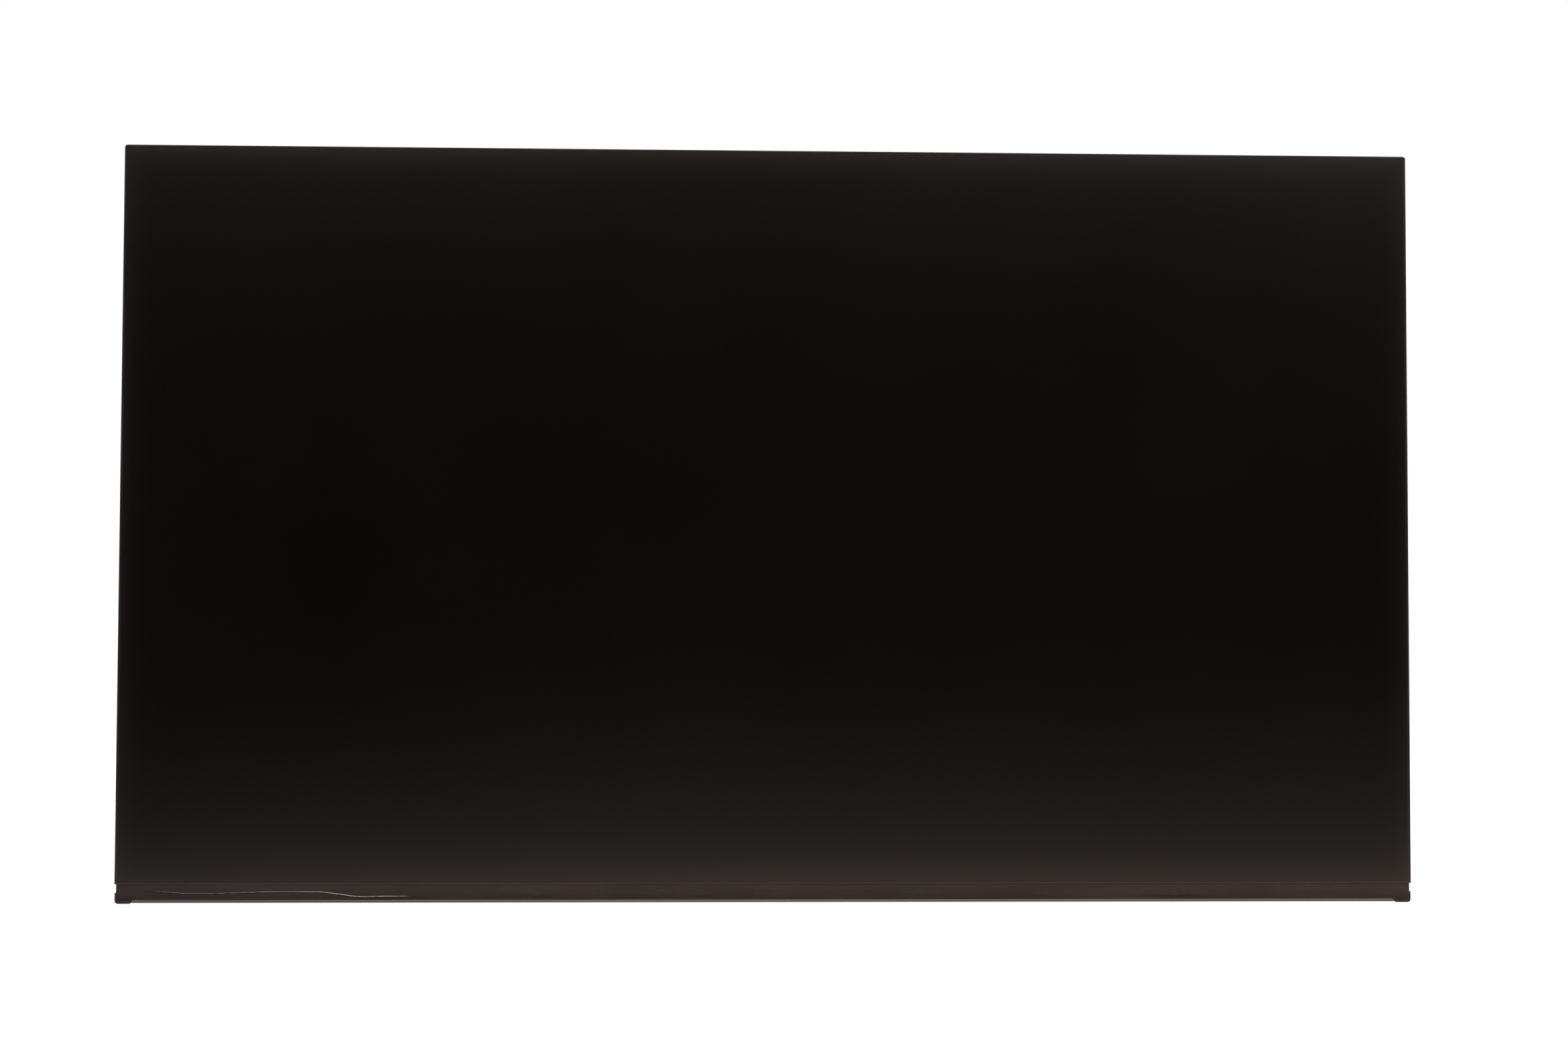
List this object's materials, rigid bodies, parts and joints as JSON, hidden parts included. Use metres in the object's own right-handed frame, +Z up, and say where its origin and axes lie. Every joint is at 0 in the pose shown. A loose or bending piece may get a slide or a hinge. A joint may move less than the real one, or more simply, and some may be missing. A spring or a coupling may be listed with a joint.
{
  "type": "lcd panel module",
  "caption": "Bare backlit display module: black anti-glare screen in a thin moulded rim, driver films wrapped under the bottom edge, ribbed steel rear tray and shielded source board.",
  "frame": {"origin": "centre of the four tapped fixing holes in the rear tray, on the plane of their boss faces", "axes": "+X to the viewer's right along the long side, +Y out of the back and away from the viewer, +Z up the screen"},
  "size_m": [0.5356, 0.0093, 0.313],
  "materials": {
    "screen_polariser": "satin anti-glare",
    "inner_polariser": "gloss",
    "screen_glass": "polished",
    "black_tape": "satin",
    "frame_plastic": "fine texture",
    "film_polyimide": "gloss",
    "chip_silicon": "satin",
    "white_sheet": "matt",
    "prism_sheet": "satin",
    "light_guide": "polished",
    "stopper_rubber": "matt",
    "thermal_tape": "matt",
    "lamp_board": "white solder mask",
    "lamp_body": "gloss",
    "tray_steel": "galvanised, satin",
    "insulator_film": "satin",
    "board_laminate": "solder mask",
    "chip_package": "matt",
    "capacitor_ceramic": "satin",
    "socket_black": "satin",
    "socket_white": "satin",
    "socket_shell": "bright",
    "contact_gold": "plated",
    "contact_tin": "plated",
    "gasket_cloth": "woven, plated",
    "shield_steel": "galvanised, satin",
    "screw_steel": "zinc plated"
  },
  "bodies": {
    "root": {"front_polariser": "screen_polariser", "colour_filter_glass": "screen_glass", "tft_glass": "screen_glass", "rear_polariser": "inner_polariser", "cell_tape": "black_tape", "cover_tape": "black_tape", "mid_frame": "frame_plastic", "driver_film_1": "film_polyimide", "driver_film_2": "film_polyimide", "driver_film_3": "film_polyimide", "driver_film_4": "film_polyimide", "driver_film_5": "film_polyimide", "driver_film_6": "film_polyimide", "driver_chip_1": "chip_silicon", "driver_chip_2": "chip_silicon", "driver_chip_3": "chip_silicon", "driver_chip_4": "chip_silicon", "driver_chip_5": "chip_silicon", "driver_chip_6": "chip_silicon", "upper_diffuser_sheet": "white_sheet", "upper_prism_sheet": "prism_sheet", "lower_prism_sheet": "prism_sheet", "lower_diffuser_sheet": "white_sheet", "light_guide_plate": "light_guide", "reflector_sheet": "white_sheet", "guide_stoppers": "stopper_rubber", "lamp_cover_strip": "white_sheet", "thermal_tape": "thermal_tape", "lamp_strip": "lamp_board", "lamps": "lamp_body", "lamp_strip_tail": "film_polyimide", "rear_tray": "tray_steel", "board_insulator": "insulator_film", "source_board": "board_laminate", "timing_controller": "chip_package", "power_chip": "chip_package", "inductors": "chip_package", "capacitors": "capacitor_ceramic", "signal_socket": "socket_black", "signal_socket_shell": "socket_shell", "signal_contact_row": "contact_gold", "backlight_socket": "socket_white", "backlight_contact_row": "contact_tin", "shield_gaskets": "gasket_cloth", "board_shield": "shield_steel", "board_screws": "screw_steel", "shield_screws": "screw_steel"}
  },
  "joints": []
}
